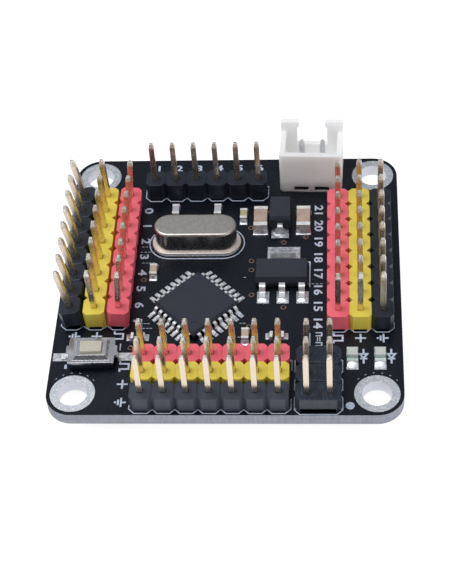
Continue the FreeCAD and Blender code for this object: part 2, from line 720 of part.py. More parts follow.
os.makedirs("parts", exist_ok=True)
for name, solids in nodes.items():
    shape = solids[0] if len(solids) == 1 else Part.makeCompound(solids)
    shape.exportStep("parts/" + name + ".step")
    print(name, "solids", len(shape.Solids), "valid", shape.isValid(), "volume", round(shape.Volume, 3))
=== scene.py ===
"""Looks of the servo driver board: finishes, printed marks, solder, tracks and studio.

Everything is in metres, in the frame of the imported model: X right, Y back, Z up, with the origin in the
middle of the four mounting holes on the board's underside. Lengths are written in millimetres times MM.
"""
import json
import math

import bmesh
import bpy
from mathutils import Matrix, Vector


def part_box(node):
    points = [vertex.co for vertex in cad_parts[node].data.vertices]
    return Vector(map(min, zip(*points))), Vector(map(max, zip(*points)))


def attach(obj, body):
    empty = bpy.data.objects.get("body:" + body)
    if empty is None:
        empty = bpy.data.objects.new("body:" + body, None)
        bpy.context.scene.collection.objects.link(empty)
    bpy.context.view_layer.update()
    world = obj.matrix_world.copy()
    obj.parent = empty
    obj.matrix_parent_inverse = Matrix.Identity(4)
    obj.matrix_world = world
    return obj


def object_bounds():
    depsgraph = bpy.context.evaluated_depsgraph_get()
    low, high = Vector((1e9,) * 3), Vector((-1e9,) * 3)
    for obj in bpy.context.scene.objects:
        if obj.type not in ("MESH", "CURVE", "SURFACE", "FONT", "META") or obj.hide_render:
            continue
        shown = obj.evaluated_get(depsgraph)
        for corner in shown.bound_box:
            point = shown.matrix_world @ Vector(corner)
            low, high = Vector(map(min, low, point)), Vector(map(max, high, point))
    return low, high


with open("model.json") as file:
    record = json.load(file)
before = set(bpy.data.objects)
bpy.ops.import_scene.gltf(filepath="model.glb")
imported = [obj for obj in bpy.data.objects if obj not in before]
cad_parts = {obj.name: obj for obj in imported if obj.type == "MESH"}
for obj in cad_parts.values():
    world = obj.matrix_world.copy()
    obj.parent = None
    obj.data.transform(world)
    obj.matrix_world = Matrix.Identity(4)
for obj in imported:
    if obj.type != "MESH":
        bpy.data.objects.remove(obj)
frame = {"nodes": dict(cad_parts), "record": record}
cad_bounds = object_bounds()

MM = 0.001
PITCH = 2.54 * MM
BODY = "board_assembly"
# Corners closer together than this are one corner.
WELD_DISTANCE = 1e-7

node_of = frame["nodes"]
board_low, board_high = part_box("circuit_board")
pad_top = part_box("surface_pads")[1].z
board_top = board_high.z


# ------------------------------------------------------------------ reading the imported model
def islands(name):
    """Corner points of each separate solid in a node, as lists of vectors."""
    mesh = bmesh.new()
    mesh.from_mesh(node_of[name].data)
    bmesh.ops.remove_doubles(mesh, verts=mesh.verts, dist=WELD_DISTANCE)
    seen = set()
    found = []
    for start in mesh.verts:
        if start in seen:
            continue
        seen.add(start)
        group = []
        stack = [start]
        while stack:
            vert = stack.pop()
            group.append(vert.co.copy())
            for edge in vert.link_edges:
                other = edge.other_vert(vert)
                if other not in seen:
                    seen.add(other)
                    stack.append(other)
        found.append(group)
    mesh.free()
    return found


def middle_of(points):
    """Middle of the box round some points."""
    low = Vector([min(p[i] for p in points) for i in range(3)])
    high = Vector([max(p[i] for p in points) for i in range(3)])
    return (low + high) / 2


# ------------------------------------------------------------------ material helpers
def srgb(red, green, blue):
    """Linear colour from display values of 0 to 255."""
    def linear(value):
        value /= 255
        return value / 12.92 if value <= 0.04045 else ((value + 0.055) / 1.055) ** 2.4
    return (linear(red), linear(green), linear(blue), 1.0)


class Graph:
    """A material and short ways to add its nodes."""

    def __init__(self, name):
        self.material = bpy.data.materials.new(name)
        self.material.use_nodes = True
        self.tree = self.material.node_tree
        self.tree.nodes.clear()
        self.place = self.node("ShaderNodeTexCoord").outputs["Object"]

    def node(self, kind, inputs=None, **settings):
        """A new node: inputs are sockets to link or values to set, settings the node's own choices."""
        new = self.tree.nodes.new(kind)
        for key, value in settings.items():
            setattr(new, key, value)
        for key, value in (inputs or {}).items():
            if isinstance(value, bpy.types.NodeSocket):
                self.tree.links.new(value, new.inputs[key])
            else:
                new.inputs[key].default_value = value
        return new

    def stretched(self, stretch):
        """Place on the object, with each direction scaled: less than 1 draws the pattern out along it."""
        mapping = self.node("ShaderNodeMapping", {"Vector": self.place, "Scale": stretch})
        return mapping.outputs["Vector"]

    def noise(self, size, detail=3.0, stretch=(1, 1, 1), distortion=0.0):
        """Noise with blobs of about size metres."""
        inputs = {"Vector": self.stretched(stretch), "Scale": 1 / size, "Detail": detail,
                  "Distortion": distortion}
        return self.node("ShaderNodeTexNoise", inputs).outputs["Fac"]

    def cells(self, size):
        """Distance from the middle of the nearest cell, in cells of about size metres."""
        inputs = {"Vector": self.place, "Scale": 1 / size}
        return self.node("ShaderNodeTexVoronoi", inputs).outputs["Distance"]

    def span(self, value, low, high, to_low=0.0, to_high=1.0):
        """A value from low to high carried over to to_low to to_high, and held there beyond."""
        inputs = {"Value": value, "From Min": low, "From Max": high, "To Min": to_low, "To Max": to_high}
        return self.node("ShaderNodeMapRange", inputs).outputs["Result"]

    def mix(self, amount, first, second):
        """The first colour at amount 0, the second at 1."""
        new = self.node("ShaderNodeMix", data_type="RGBA")
        for key, value in ((0, amount), (6, first), (7, second)):
            if isinstance(value, bpy.types.NodeSocket):
                self.tree.links.new(value, new.inputs[key])
            else:
                new.inputs[key].default_value = value
        return new.outputs[2]

    def maths(self, operation, first, second):
        """One step of arithmetic on two values."""
        return self.node("ShaderNodeMath", {0: first, 1: second}, operation=operation).outputs["Value"]

    def bump(self, height, depth, strength):
        """Surface relief, depth metres from the height's 0 to its 1."""
        inputs = {"Height": height, "Distance": depth, "Strength": strength}
        return self.node("ShaderNodeBump", inputs).outputs["Normal"]

    def flatness(self):
        """1 on faces that look up or down, 0 on upright faces."""
        normal = self.node("ShaderNodeNewGeometry").outputs["Normal"]
        steepness = self.node("ShaderNodeSeparateXYZ", {"Vector": normal}).outputs["Z"]
        return self.span(self.maths("ABSOLUTE", steepness, 0.0), 0.3, 0.7)

    def along(self, axis):
        """Place on the object along one axis, in metres."""
        return self.node("ShaderNodeSeparateXYZ", {"Vector": self.place}).outputs[axis]

    def surface(self, **inputs):
        """The finished material; inputs are the shader's own, with _ for each space."""
        named = {key.replace("_", " "): value for key, value in inputs.items()}
        shader = self.node("ShaderNodeBsdfPrincipled", named)
        output = self.node("ShaderNodeOutputMaterial")
        self.tree.links.new(shader.outputs["BSDF"], output.inputs["Surface"])
        return self.material


# ------------------------------------------------------------------ finishes
BLUISH = (0.84, 0.91, 1.0, 1.0)
WHITE = (1.0, 1.0, 1.0, 1.0)


def solder_mask():
    """Black lacquer on the flat faces, sawn glass laminate on the edges."""
    g = Graph("solder_mask")
    broad = g.noise(5 * MM, 2)
    fine = g.noise(0.25 * MM, 4)
    weave = g.noise(0.5 * MM, 2)
    lacquer = g.mix(broad, srgb(3, 6, 14), srgb(9, 14, 25))
    fibres = g.noise(0.35 * MM, 4, (1, 1, 0.25))
    layers = g.noise(0.22 * MM, 2, (0.04, 0.04, 1))
    glass = g.mix(g.maths("MULTIPLY", fibres, layers), srgb(124, 128, 140), srgb(196, 200, 210))
    flat = g.flatness()
    colour = g.mix(flat, glass, lacquer)
    gloss = g.span(g.maths("MULTIPLY", fine, broad), 0.1, 0.5, 0.24, 0.38)
    rough = g.span(flat, 0.0, 1.0, 0.7, 0.0)
    relief = g.maths("ADD", g.maths("MULTIPLY", fine, 0.5), weave)
    return g.surface(
        Base_Color=colour,
        Roughness=g.maths("MAXIMUM", gloss, rough),
        Specular_IOR_Level=0.42,
        Specular_Tint=BLUISH,
        Normal=g.bump(relief, 0.004 * MM, 0.6),
    )


def covered_copper():
    """Lacquer over copper: a little lighter and smoother than over the bare board."""
    g = Graph("covered_copper")
    broad = g.noise(3 * MM, 2)
    fine = g.noise(0.3 * MM, 3)
    return g.surface(
        Base_Color=g.mix(broad, srgb(24, 31, 44), srgb(34, 42, 56)),
        Roughness=g.span(fine, 0.3, 0.7, 0.24, 0.36),
        Specular_IOR_Level=0.5,
        Normal=g.bump(fine, 0.003 * MM, 0.5),
    )


def print_ink():
    """Screen-printed ink, grey white and a little grainy."""
    g = Graph("print_ink")
    grain = g.noise(0.12 * MM, 4)
    colour = g.mix(g.span(grain, 0.35, 0.7), srgb(158, 172, 192), srgb(205, 216, 232))
    return g.surface(Base_Color=colour, Roughness=0.6, Normal=g.bump(grain, 0.01 * MM, 0.5))


def tinned(name="tinned_copper", dark=(176, 181, 187), light=(216, 220, 225), size=0.5, rough=(0.34, 0.5),
           depth=0.008, metal=1.0):
    """Tin with soft grey clouds, fine pale specks and a faintly uneven surface; size and depth in mm."""
    g = Graph(name)
    cloud = g.noise(size * MM, 4, distortion=0.4)
    speck = g.noise(0.11 * MM, 3)
    ground = g.mix(g.span(cloud, 0.34, 0.66), srgb(*dark), srgb(*light))
    colour = g.mix(g.span(speck, 0.56, 0.7, 0.0, 0.5), ground, srgb(240, 243, 246))
    gloss = g.span(g.maths("MULTIPLY", cloud, speck), 0.12, 0.4, rough[0], rough[1])
    relief = g.maths("ADD", cloud, g.maths("MULTIPLY", speck, 0.35))
    return g.surface(
        Base_Color=colour,
        Metallic=metal,
        Roughness=gloss,
        Normal=g.bump(relief, depth * MM, 0.7),
    )


def ring_tin():
    """Flat grey tin on the faces of a mounting ring; inside its hole the same tin is painted a pale
    lavender white with little metal, a painted reflection of the bright surroundings.
    """
    g = Graph("ring_tin")
    cloud = g.noise(1.2 * MM, 3)
    speck = g.noise(0.14 * MM, 3)
    flat = g.flatness()
    face = g.mix(cloud, srgb(176, 182, 190), srgb(198, 203, 209))
    face = g.mix(g.span(speck, 0.52, 0.64, 0.0, 0.75), face, srgb(242, 245, 247))
    # Painted reflection: the upright faces, the hole's wall, get a pale lavender white and little metal
    # instead of the tin's grey.
    colour = g.mix(flat, srgb(222, 223, 232), face)
    return g.surface(
        Base_Color=colour,
        Metallic=g.span(flat, 0.0, 1.0, 0.15, 0.8),
        Roughness=g.span(speck, 0.3, 0.7, 0.4, 0.52),
        Normal=g.bump(g.maths("MULTIPLY", g.maths("ADD", cloud, speck), flat), 0.006 * MM, 0.6),
    )


def post_metal():
    """Pale gold flash on drawn wire: fine lines along each post, brighter uneven metal at the cut tips."""
    g = Graph("post_metal")
    lines = g.noise(0.09 * MM, 4, (1, 1, 0.06))
    patch = g.noise(0.6 * MM, 3, (1, 1, 0.5))
    grain = g.noise(0.2 * MM, 3)
    height = g.along("Z")
    tip = g.span(height, board_top + 7.5 * MM, board_top + 8.1 * MM)
    gold = g.mix(patch, srgb(226, 213, 198), srgb(222, 204, 180))
    tin = g.mix(g.span(grain, 0.4, 0.6), srgb(196, 188, 174), srgb(238, 234, 226))
    colour = g.mix(tip, gold, tin)
    gloss = g.span(lines, 0.3, 0.7, 0.16, 0.30)
    relief = g.maths("ADD", lines, g.maths("MULTIPLY", g.maths("MULTIPLY", grain, tip), 3.0))
    return g.surface(
        Base_Color=colour,
        Metallic=g.span(tip, 0.0, 1.0, 0.97, 0.8),
        Roughness=g.maths("ADD", gloss, g.maths("MULTIPLY", tip, 0.16)),
        Normal=g.bump(relief, 0.002 * MM, 0.5),
    )


def moulded(name, dark, light, rough=0.42, level=0.5, tint=WHITE):
    """Moulded plastic with a fine spark-eroded grain and faint flow marks."""
    g = Graph(name)
    flow = g.noise(2.2 * MM, 3, (1, 1, 0.5), distortion=0.8)
    fine = g.noise(0.09 * MM, 3)
    colour = g.mix(g.span(flow, 0.3, 0.7), srgb(*dark), srgb(*light))
    return g.surface(
        Base_Color=colour,
        Roughness=g.span(fine, 0.3, 0.7, rough - 0.05, rough + 0.08),
        Specular_IOR_Level=level,
        Specular_Tint=tint,
        Normal=g.bump(fine, 0.005 * MM, 0.55),
    )


def milky_nylon():
    """White nylon that light soaks through, a little warm where the wall is thick."""
    g = Graph("milky_nylon")
    flow = g.noise(2.5 * MM, 3, (1, 1, 0.4), distortion=0.6)
    fine = g.noise(0.1 * MM, 3)
    return g.surface(
        Base_Color=g.mix(flow, srgb(246, 244, 242), srgb(252, 251, 250)),
        Roughness=g.span(fine, 0.3, 0.7, 0.34, 0.46),
        Subsurface_Weight=1.0,
        Subsurface_Radius=(1.0, 0.97, 0.94),
        Subsurface_Scale=1.4 * MM,
        Normal=g.bump(fine, 0.005 * MM, 0.5),
    )


def clear_resin():
    """Milky clear resin of a lamp, greener near its foot."""
    g = Graph("clear_resin")
    cloud = g.noise(0.4 * MM, 3)
    height = g.along("Z")
    foot = g.span(height, pad_top + 0.35 * MM, pad_top + 0.9 * MM, 1.0, 0.0)
    body = g.mix(cloud, srgb(236, 244, 241), srgb(250, 253, 251))
    return g.surface(
        Base_Color=g.mix(foot, body, srgb(168, 226, 200)),
        Roughness=g.span(cloud, 0.3, 0.7, 0.08, 0.2),
        Transmission_Weight=0.42,
        IOR=1.5,
        Normal=g.bump(cloud, 0.01 * MM, 0.3),
    )


def worn_plastic():
    """Black plastic with a rubbed upper face: fine pale scratches and specks."""
    g = Graph("worn_plastic")
    flow = g.noise(1.4 * MM, 3)
    speck = g.noise(0.10 * MM, 4)
    rub = g.noise(0.16 * MM, 3, (1, 0.15, 1))
    wear = g.span(g.maths("MULTIPLY", speck, rub), 0.26, 0.42)
    ground = g.mix(flow, srgb(24, 30, 42), srgb(34, 41, 54))
    return g.surface(
        Base_Color=g.mix(g.maths("MULTIPLY", wear, 0.55), ground, srgb(92, 100, 116)),
        Roughness=g.span(wear, 0.0, 1.0, 0.3, 0.55),
        Specular_IOR_Level=0.45,
        Specular_Tint=(0.86, 0.92, 1.0, 1.0),
        Normal=g.bump(g.maths("ADD", speck, rub), 0.012 * MM, 0.7),
    )


def package_moulding():
    """Dark filled epoxy: tiny pale specks in a matt blue-grey ground."""
    g = Graph("package_moulding")
    speck = g.cells(0.07 * MM)
    cloud = g.noise(1.6 * MM, 4)
    ground = g.mix(cloud, srgb(32, 36, 47), srgb(43, 48, 60))
    colour = g.mix(g.span(speck, 0.0, 0.16, 0.22, 0.0), ground, srgb(96, 102, 116))
    return g.surface(
        Base_Color=colour,
        Roughness=g.span(cloud, 0.3, 0.7, 0.5, 0.62),
        Specular_IOR_Level=0.35,
        Normal=g.bump(g.maths("ADD", speck, cloud), 0.006 * MM, 0.6),
    )


def can_steel():
    """Nickel-plated drawn can and its base: grained flat top, smoother drawn side, and a painted highlight
    on the base, which is given a paler, warmer colour and less metal than the same plating above.
    """
    g = Graph("can_steel")
    grain = g.noise(0.10 * MM, 5)
    drawn = g.noise(0.30 * MM, 3, (1, 1, 0.15))
    height = g.along("Z")
    foot = g.span(height, board_top + 0.75 * MM, board_top + 0.95 * MM, 1.0, 0.0)
    flat = g.flatness()
    body = g.mix(g.span(drawn, 0.3, 0.7), srgb(170, 167, 163), srgb(190, 187, 182))
    gloss = g.span(flat, 0.0, 1.0, 0.24, 0.38)
    # Painted highlight: below the can the same plating is made pale, warm and less metallic, so that the
    # base reads lit.
    return g.surface(
        Base_Color=g.mix(foot, body, srgb(238, 230, 224)),
        Metallic=g.span(foot, 0.0, 1.0, 1.0, 0.7),
        Roughness=g.maths("ADD", gloss, g.maths("MULTIPLY", grain, 0.06)),
        Normal=g.bump(grain, 0.006 * MM, 0.5),
    )


def sheet_steel(name="switch_cover", dark=(232, 233, 237), light=(246, 247, 250)):
    """Rolled and pressed sheet steel: long faint rolling lines and a soft stain."""
    g = Graph(name)
    rolled = g.noise(0.10 * MM, 3, (0.06, 1, 1))
    stain = g.noise(1.5 * MM, 2)
    colour = g.mix(g.span(g.maths("MULTIPLY", rolled, stain), 0.1, 0.45), srgb(*dark), srgb(*light))
    return g.surface(
        Base_Color=colour,
        Metallic=1.0,
        Roughness=g.span(stain, 0.3, 0.7, 0.13, 0.20),
        Normal=g.bump(rolled, 0.0012 * MM, 0.4),
    )


def fired(g, colour):
    """Matt, finely grained surface of fired ceramic in a given colour."""
    grain = g.noise(0.10 * MM, 4)
    return g.surface(
        Base_Color=colour,
        Roughness=g.span(grain, 0.3, 0.7, 0.42, 0.6),
        Normal=g.bump(grain, 0.008 * MM, 0.5),
    )


def tan_ceramic():
    """Large capacitors: tan ceramic with faint layers."""
    g = Graph("tan_ceramic")
    band = g.noise(0.9 * MM, 3)
    return fired(g, g.mix(g.span(band, 0.3, 0.7), srgb(160, 138, 124), srgb(184, 162, 148)))


def small_ceramic():
    """Small capacitors: lavender grey behind the crystal, olive beside it, tan elsewhere."""
    g = Graph("small_ceramic")
    band = g.noise(0.7 * MM, 3)
    behind = g.span(g.along("Y"), 8.9 * MM, 9.1 * MM)
    beside = g.span(g.along("X"), -0.1 * MM, 0.1 * MM)
    tan = g.mix(band, srgb(170, 150, 132), srgb(190, 171, 152))
    lavender = g.mix(band, srgb(158, 158, 172), srgb(176, 176, 188))
    olive = g.mix(band, srgb(158, 154, 118), srgb(176, 172, 136))
    return fired(g, g.mix(behind, tan, g.mix(beside, lavender, olive)))


def clear(name, dark, light, rough, clearness, index):
    """See-through glass or crystal with a faint cloud inside."""
    g = Graph(name)
    cloud = g.noise(0.5 * MM, 3)
    tint = g.mix(cloud, srgb(*dark), srgb(*light))
    return g.surface(
        Base_Color=tint,
        Roughness=g.span(cloud, 0.3, 0.7, rough, rough + 0.08),
        IOR=index,
        Transmission_Weight=clearness,
        Normal=g.bump(cloud, 0.01 * MM, 0.3),
    )


finish_of = {
    "solder_mask": solder_mask(),
    "tinned_copper": tinned(),
    "post_metal": post_metal(),
    "black_plastic": moulded("black_plastic", (23, 27, 36), (32, 37, 49), 0.40, tint=BLUISH),
    "yellow_plastic": moulded("yellow_plastic", (222, 201, 72), (232, 212, 86)),
    "red_plastic": moulded("red_plastic", (232, 96, 112), (242, 110, 126)),
    "white_plastic": milky_nylon(),
    "can_steel": can_steel(),
    "seal_glass": clear("seal_glass", (70, 96, 104), (82, 108, 116), 0.1, 0.6, 1.5),
    "quartz": clear("quartz", (228, 236, 240), (240, 248, 252), 0.05, 0.8, 1.54),
    "package_moulding": package_moulding(),
    "silicon": tinned("silicon", (84, 86, 104), (120, 124, 142), 0.8, (0.08, 0.2)),
    "tan_ceramic": tan_ceramic(),
    "resistor_body": moulded("resistor_body", (18, 18, 19), (32, 32, 34), 0.3),
    "lamp_base": moulded("lamp_base", (170, 222, 200), (204, 236, 220), 0.5),
    "lamp_lens": clear_resin(),
    "switch_cover": sheet_steel(),
    "cream_plastic": moulded("cream_plastic", (180, 176, 160), (196, 192, 178), 0.5),
    "spring_steel": sheet_steel("spring_steel", (160, 154, 142), (206, 200, 188)),
}

# Nodes that share a material slot with others but look a little different.
bright_tin = tinned("bright_tin", (206, 209, 214), (236, 239, 243), 0.4, (0.34, 0.5), 0.006, 0.72)
cap_tin = tinned("cap_tin", (206, 206, 206), (232, 231, 229), 0.4, (0.45, 0.6), 0.006, 0.4)
look_of = {
    "mounting_hole_rings": ring_tin(),
    "power_socket_posts": tinned("socket_post_tin", (206, 209, 212), (232, 234, 236), 0.6, (0.3, 0.42),
                                 0.004, 0.6),
    "microcontroller_leads": bright_tin,
    "regulator_leads": bright_tin,
    "reset_switch_terminals": bright_tin,
    "diode_terminals": bright_tin,
    "indicator_lamp_ends": bright_tin,
    "supply_capacitor_ends": cap_tin,
    "signal_capacitor_ends": cap_tin,
    "resistor_ends": cap_tin,
    "signal_capacitor_bodies": small_ceramic(),
    "programming_header_housing": worn_plastic(),
    # Painted light: the front ground housing gets a lighter, bluer copy of the black plastic, as if lit
    # from low in front.
    "front_ground_header_housing": moulded("black_plastic_painted_lighter", (40, 44, 56), (52, 57, 70), 0.5, 0.6,
                                           BLUISH),
    "regulator_heat_tab": tinned("heat_tab_tin", (128, 130, 130), (168, 170, 168), 0.7, (0.3, 0.4),
                                 0.003, 0.8),
}

slot_of = {part["node"]: part["material_slot"] for part in frame["record"]["subparts"]}
for name, cad_object in node_of.items():
    for material_slot in cad_object.material_slots:
        material_slot.material = look_of.get(name, finish_of[slot_of[name]])


# Faces that meet at more than this angle, in degrees, have a sharp edge between them.
SHARP_ANGLE = 35


def soften_edges(name, width):
    """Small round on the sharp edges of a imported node, as moulding and rolling leave."""
    cad_object = node_of[name]
    weld = cad_object.modifiers.new("weld", "WELD")
    weld.merge_threshold = WELD_DISTANCE
    bevel = cad_object.modifiers.new("edges", "BEVEL")
    bevel.width = width
    bevel.segments = 2
    bevel.limit_method = "ANGLE"
    bevel.angle_limit = math.radians(SHARP_ANGLE)
    bevel.use_clamp_overlap = True
    bevel.harden_normals = True


# Width of the round on each node whose name has this ending.
EDGE_ROUNDS = (
    ("header_housing", 0.05 * MM),
    ("power_socket_housing", 0.08 * MM),
    ("_body", 0.04 * MM),
    ("capacitor_bodies", 0.02 * MM),
    ("resistor_bodies", 0.02 * MM),
    ("reset_switch_cover", 0.03 * MM),
    ("reset_switch_base", 0.04 * MM),
    ("indicator_lamp_lenses", 0.05 * MM),
    ("header_posts", 0.03 * MM),
)
for name in node_of:
    for ending, width in EDGE_ROUNDS:
        if name.endswith(ending):
            soften_edges(name, width)


# ------------------------------------------------------------------ making pieces
def piece(name, mesh, slot, material=None):
    """New piece on the board, with the finish of a slot in the record or a material of its own."""
    data = bpy.data.meshes.new(name)
    bmesh.ops.recalc_face_normals(mesh, faces=mesh.faces)
    mesh.to_mesh(data)
    mesh.free()
    data.materials.append(material or finish_of[slot])
    made = bpy.data.objects.new(name, data)
    bpy.context.scene.collection.objects.link(made)
    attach(made, BODY)


def add_slab(mesh, outline, low, high):
    """Closed flat slab over an outline of (x, y) points."""
    lower = [mesh.verts.new((x, y, low)) for x, y in outline]
    upper = [mesh.verts.new((x, y, high)) for x, y in outline]
    count = len(outline)
    mesh.faces.new(list(reversed(lower)))
    mesh.faces.new(upper)
    for i in range(count):
        j = (i + 1) % count
        mesh.faces.new((lower[i], lower[j], upper[j], upper[i]))


def add_stroke(mesh, points, width, low, high, closed=False):
    """Line of even width along (x, y) points, with mitred corners."""
    path = [Vector(p[:2]) for p in points]
    count = len(path)
    least_cosine = 0.4
    sides = []
    for i, point in enumerate(path):
        before = path[i - 1] if closed or i else None
        after = path[(i + 1) % count] if closed or i < count - 1 else None
        into = (point - before).normalized() if before is not None else (after - point).normalized()
        out = (after - point).normalized() if after is not None else into
        across = Vector((-into.y - out.y, into.x + out.x)).normalized()
        reach = width / 2 / max(least_cosine, across.dot(Vector((-into.y, into.x))))
        sides.append((point + across * reach, point - across * reach))
    rings = []
    for left, right in sides:
        rings.append([mesh.verts.new((*left, low)), mesh.verts.new((*right, low)),
                      mesh.verts.new((*right, high)), mesh.verts.new((*left, high))])
    pairs = list(zip(rings, rings[1:]))
    if closed:
        pairs.append((rings[-1], rings[0]))
    else:
        mesh.faces.new(rings[0])
        mesh.faces.new(list(reversed(rings[-1])))
    for first, second in pairs:
        for k in range(4):
            m = (k + 1) % 4
            mesh.faces.new((first[k], first[m], second[m], second[k]))


def circle(x, y, radius, count=28):
    """Points round a circle."""
    turns = [2 * math.pi * i / count for i in range(count)]
    return [(x + radius * math.cos(t), y + radius * math.sin(t)) for t in turns]


# ------------------------------------------------------------------ printed marks
MARK_HEIGHT = 0.02 * MM
# Strokes that cross are laid at different levels, each higher by this share of MARK_HEIGHT.
LEVEL_STEP = 0.15
OUTLINE_WIDTH = 0.12 * MM
LINE_WIDTH = 0.14 * MM
SIGN_WIDTH = 0.22 * MM
# Most marks are turned by this many degrees, to be read from the board's left.
QUARTER_TURN = -90

marks = bmesh.new()


def header_block(prefix):
    """Lowest and highest corners of the header housings whose names begin with prefix."""
    names = [name for name in node_of if name.startswith(prefix) and name.endswith("header_housing")]
    boxes = [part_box(name) for name in names]
    low = Vector([min(box[0][i] for box in boxes) for i in range(3)])
    high = Vector([max(box[1][i] for box in boxes) for i in range(3)])
    return low, high


left_low, left_high = header_block("left_")
right_low, right_high = header_block("right_")
front_low, front_high = header_block("front_")
serial_low, serial_high = header_block("serial_")
program_low, program_high = header_block("programming_")
# The marks are drawn for whole pitches; these housings' ends are cut a little short of that.
for low, high, short in ((front_low, front_high, 0.08 * MM), (serial_low, serial_high, 0.2 * MM)):
    low.x -= short
    high.x += short


def ink_stroke(points, width, closed=False, level=0):
    """A stroke of ink; strokes that cross have different levels, so that no two faces coincide."""
    top = board_top + MARK_HEIGHT * (1 + LEVEL_STEP * level)
    add_stroke(marks, points, width, board_top, top, closed)


def ink_patch(outline):
    """A flat patch of ink."""
    add_slab(marks, outline, board_top, board_top + MARK_HEIGHT)


def ink_number(text, x, y, height, turn=QUARTER_TURN):
    """A broad number with its middle at x, y; the turn is in degrees."""
    height_of_size_one = 0.73
    boldness = 0.035
    broadness = 1.3
    curve = bpy.data.curves.new("number", "FONT")
    curve.body = text
    curve.size = height / height_of_size_one
    curve.align_x = "CENTER"
    curve.align_y = "CENTER"
    curve.resolution_u = 3
    curve.extrude = MARK_HEIGHT / 2
    curve.offset = boldness * height
    holder = bpy.data.objects.new("number", curve)
    bpy.context.scene.collection.objects.link(holder)
    bpy.context.view_layer.update()
    data = bpy.data.meshes.new_from_object(holder)
    raised = Matrix.Translation((x, y, board_top + MARK_HEIGHT / 2))
    broad = Matrix.Diagonal((broadness, 1, 1, 1))
    data.transform(raised @ Matrix.Rotation(math.radians(turn), 4, "Z") @ broad)
    marks.from_mesh(data)
    bpy.data.objects.remove(holder)
    bpy.data.curves.remove(curve)
    bpy.data.meshes.remove(data)


# Strokes of the generic signs, in shares of a sign's size: a pulse for signal, a plus for power, bars
# for ground, an arrow and bar for a lamp. A stroke of three points is a closed triangle.
SIGNS = {
    "signal": [[(-0.6, -0.4), (-0.3, -0.4), (-0.3, 0.4), (0.3, 0.4), (0.3, -0.4), (0.6, -0.4)]],
    "power": [[(-0.5, 0), (0.5, 0)], [(0, -0.5), (0, 0.5)]],
    "ground": [[(0, 0.5), (0, 0.05)], [(-0.5, 0.05), (0.5, 0.05)], [(-0.3, -0.22), (0.3, -0.22)],
               [(-0.1, -0.48), (0.1, -0.48)]],
    "lamp": [[(-1.1, 0), (-0.35, 0)], [(-0.35, -0.45), (0.3, 0), (-0.35, 0.45)],
             [(0.36, -0.45), (0.36, 0.45)], [(0.4, 0), (1.1, 0)]],
}


def ink_sign(kind, x, y, size=1.25 * MM):
    """A sign with its middle at x, y."""
    rotate = Matrix.Rotation(math.radians(QUARTER_TURN), 2)
    for level, stroke in enumerate(SIGNS[kind]):
        placed = [Vector((x, y)) + rotate @ Vector(p) * size for p in stroke]
        ink_stroke(placed, SIGN_WIDTH, len(stroke) == 3, level)


def header_outline(low, high, gaps, rises, cells, rises_behind=None, spread=0.56 * MM):
    """Chains of corner cuts in front of and behind a block of posts, turned up at both ends.

    gaps are the clearances at the left, right, front and back; rises are the lengths of the upturned
    ends at the left and right, and rises_behind those of the chain behind, where they differ; cells is
    the number of scallops; spread is half the width of the dip between two scallops.
    """
    left, right = low.x - gaps[0], high.x + gaps[1]
    chamfer = 0.62 * MM
    dip = 0.56 * MM
    chains = ((low.y - gaps[2], 1, rises), (high.y + gaps[3], -1, rises_behind or rises))
    for level, (y, inward, (rise_left, rise_right)) in enumerate(chains):
        points = [(left, y + inward * (chamfer + rise_left)), (left, y + inward * chamfer),
                  (left + chamfer, y)]
        for cell in range(1, cells):
            middle = low.x + cell * (high.x - low.x) / cells
            points += [(middle - spread, y), (middle, y + inward * dip), (middle + spread, y)]
        points += [(right - chamfer, y), (right, y + inward * chamfer),
                   (right, y + inward * (chamfer + rise_right))]
        ink_stroke(points, OUTLINE_WIDTH, level=level)


def side_brackets(low, high, gaps, rows):
    """A short line with bent ends at the left and right of each row of a block."""
    half = 0.72 * MM
    bend = 0.2 * MM
    for row in range(rows):
        middle = low.y + (row + 0.5) * (high.y - low.y) / rows
        for x, inward in ((low.x - gaps[0], 1), (high.x + gaps[1], -1)):
            points = [(x + inward * bend, middle - half - bend), (x, middle - half),
                      (x, middle + half), (x + inward * bend, middle + half + bend)]
            ink_stroke(points, 0.11 * MM, level=1 + row)


def outlines():
    """Outlines round the five blocks of posts."""
    short_rises = (0.3 * MM, 0.3 * MM)
    left_gaps = (-0.08 * MM, -0.25 * MM, 0.18 * MM, 0.18 * MM)
    header_outline(left_low, left_high, left_gaps, short_rises, 3, spread=0.72 * MM)
    right_gaps = (-0.08 * MM, 0.04 * MM, 0.16 * MM, 0.18 * MM)
    header_outline(right_low, right_high, right_gaps, (0.3 * MM, 0.85 * MM), 3, short_rises)
    front_gaps = (0.1 * MM, 0.1 * MM, 0.26 * MM, 0.1 * MM)
    header_outline(front_low, front_high, front_gaps, (0.5 * MM, 1.4 * MM), 7)
    serial_gaps = (0.0, -0.08 * MM, 0.26 * MM, 0.2 * MM)
    header_outline(serial_low, serial_high, serial_gaps, (1.5 * MM, 1.4 * MM), 6, (0.2 * MM, 0.2 * MM))
    program_gaps = (0.12 * MM, 0.14 * MM, 0.3 * MM, 0.2 * MM)
    header_outline(program_low, program_high, program_gaps, (0.9 * MM, 0.9 * MM), 1)
    side_brackets(program_low, program_high, program_gaps, 3)
    dot_x, dot_y = program_high.x + 0.94 * MM, program_low.y + 0.9 * MM
    ink_patch(circle(dot_x, dot_y, 0.5 * MM))


def pin_numbers():
    """Numbers from the back: 0 to 7 at the left block, 21 down to 14 at the right; 1 to 6 at the back."""
    for place in range(8):
        from_back = (place + 0.5) * PITCH
        ink_number(str(place), left_high.x + 0.68 * MM, left_high.y - from_back - 0.26 * MM, 1.05 * MM)
        ink_number(str(21 - place), right_low.x - 1.1 * MM, right_high.y - from_back, 1.02 * MM)
    for place in range(6):
        x = serial_low.x + (place + 0.5) * PITCH
        ink_number(str(place + 1), x, serial_high.y + 2.9 * MM, 1.0 * MM, turn=0)


